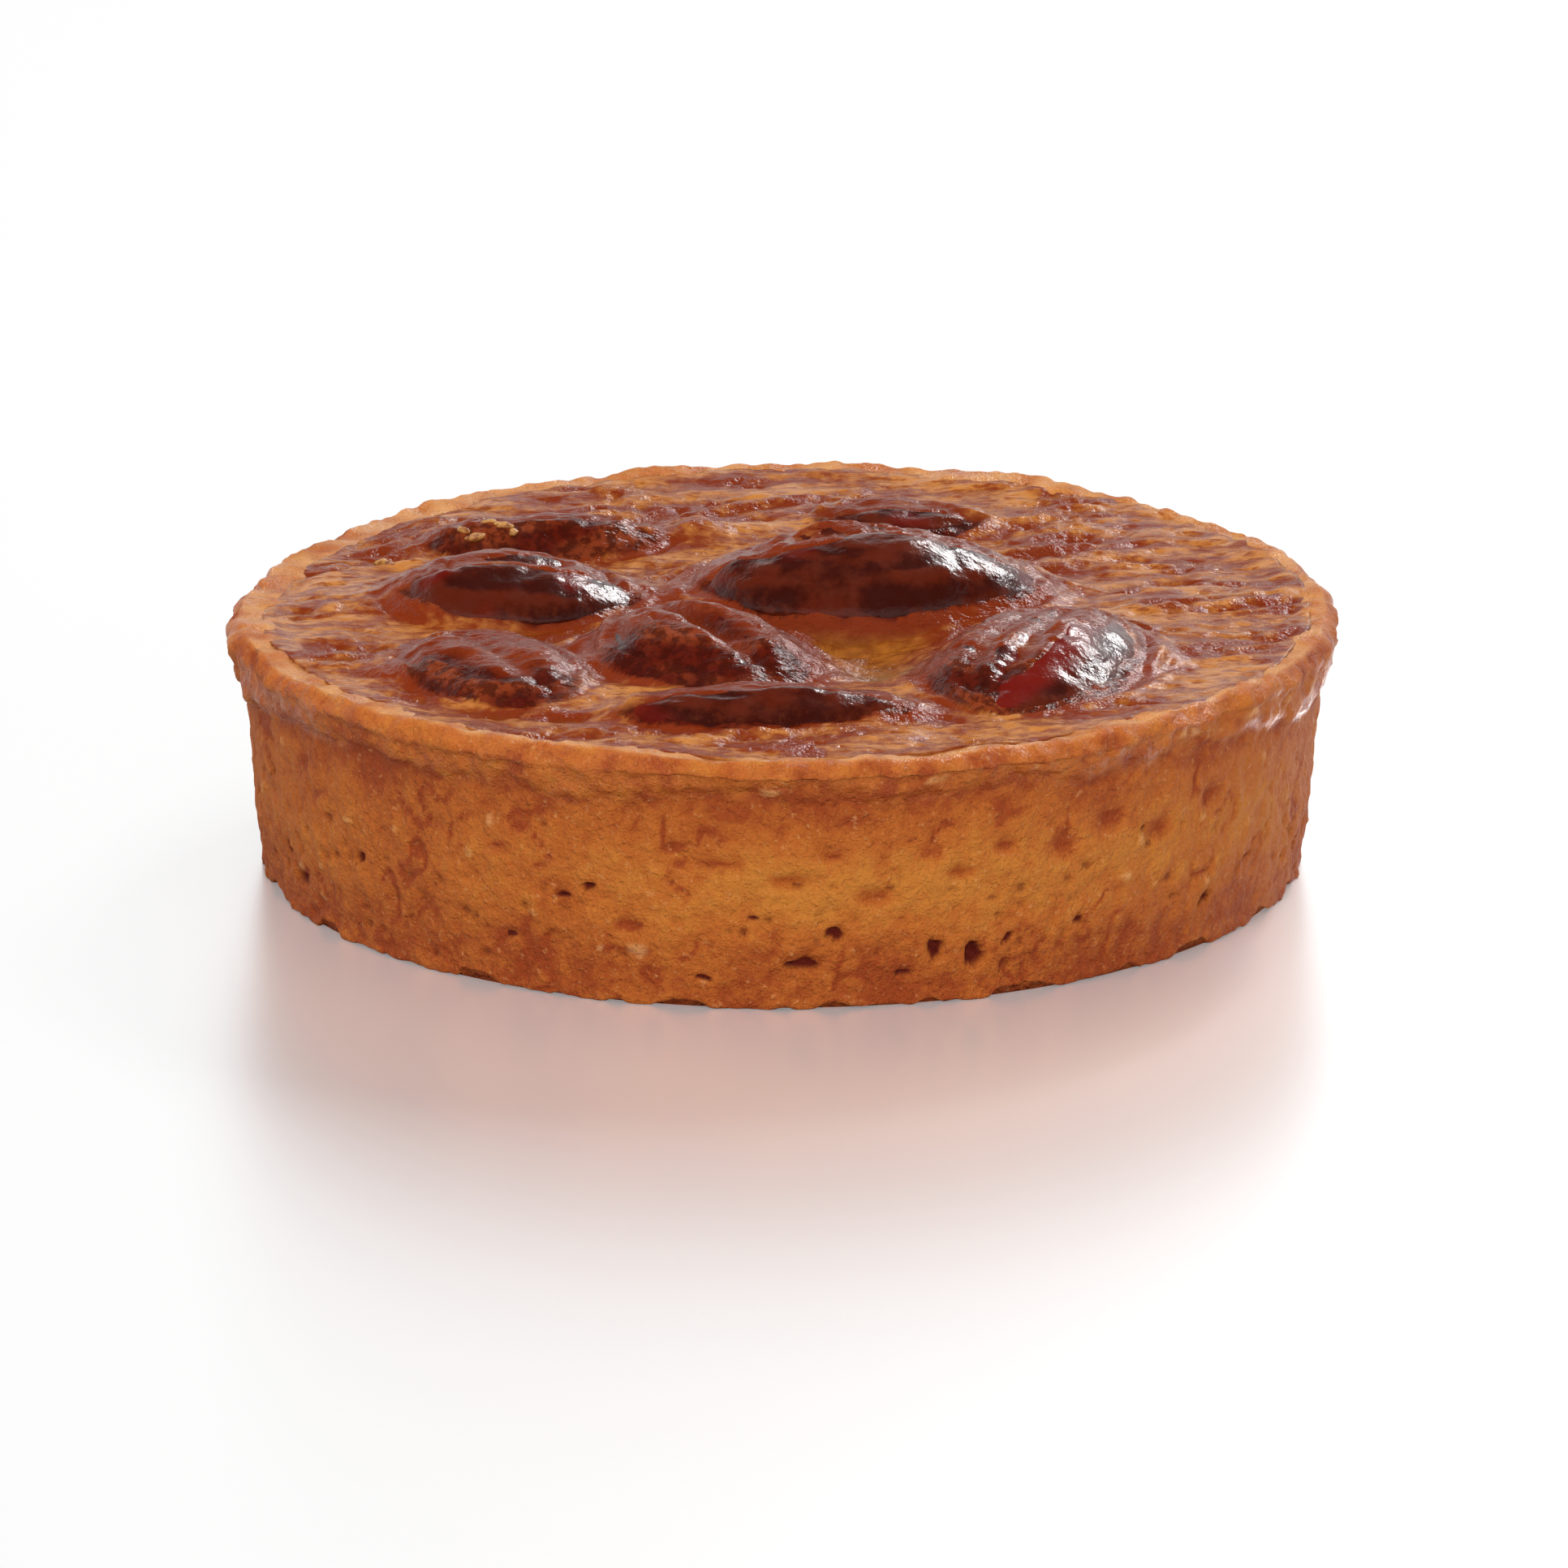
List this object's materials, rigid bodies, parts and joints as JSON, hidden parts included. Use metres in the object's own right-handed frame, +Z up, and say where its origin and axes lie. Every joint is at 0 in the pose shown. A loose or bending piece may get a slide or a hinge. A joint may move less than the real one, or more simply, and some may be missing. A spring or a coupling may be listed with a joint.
{
  "type": "pecan tart",
  "caption": "Small round pecan tart: a shortcrust case with a lip that leans out, a glossy baked filling and whole pecan halves standing out of it.",
  "frame": {"origin": "middle of the flat underside, which is also the bottom centre of the bounding box", "axes": "+Z up through the tart, -Y towards the front, +X to the right"},
  "size_m": [0.0852, 0.0848, 0.0246],
  "materials": {
    "shortcrust": "baked shortcrust pastry, golden brown, fine grain, matt with a little egg glaze on the lip",
    "filling": "baked caramel filling, glossy wrinkled skin",
    "pecan": "baked pecan half, dark red brown, syrup glaze"
  },
  "bodies": {
    "root": {"crust": "shortcrust", "filling": "filling", "pecan_back_left": "pecan", "pecan_back_right": "pecan", "pecan_centre": "pecan", "pecan_front_left": "pecan", "pecan_front": "pecan", "pecan_right": "pecan", "pecan_back": "pecan", "pecan_far_left": "pecan"}
  },
  "joints": []
}
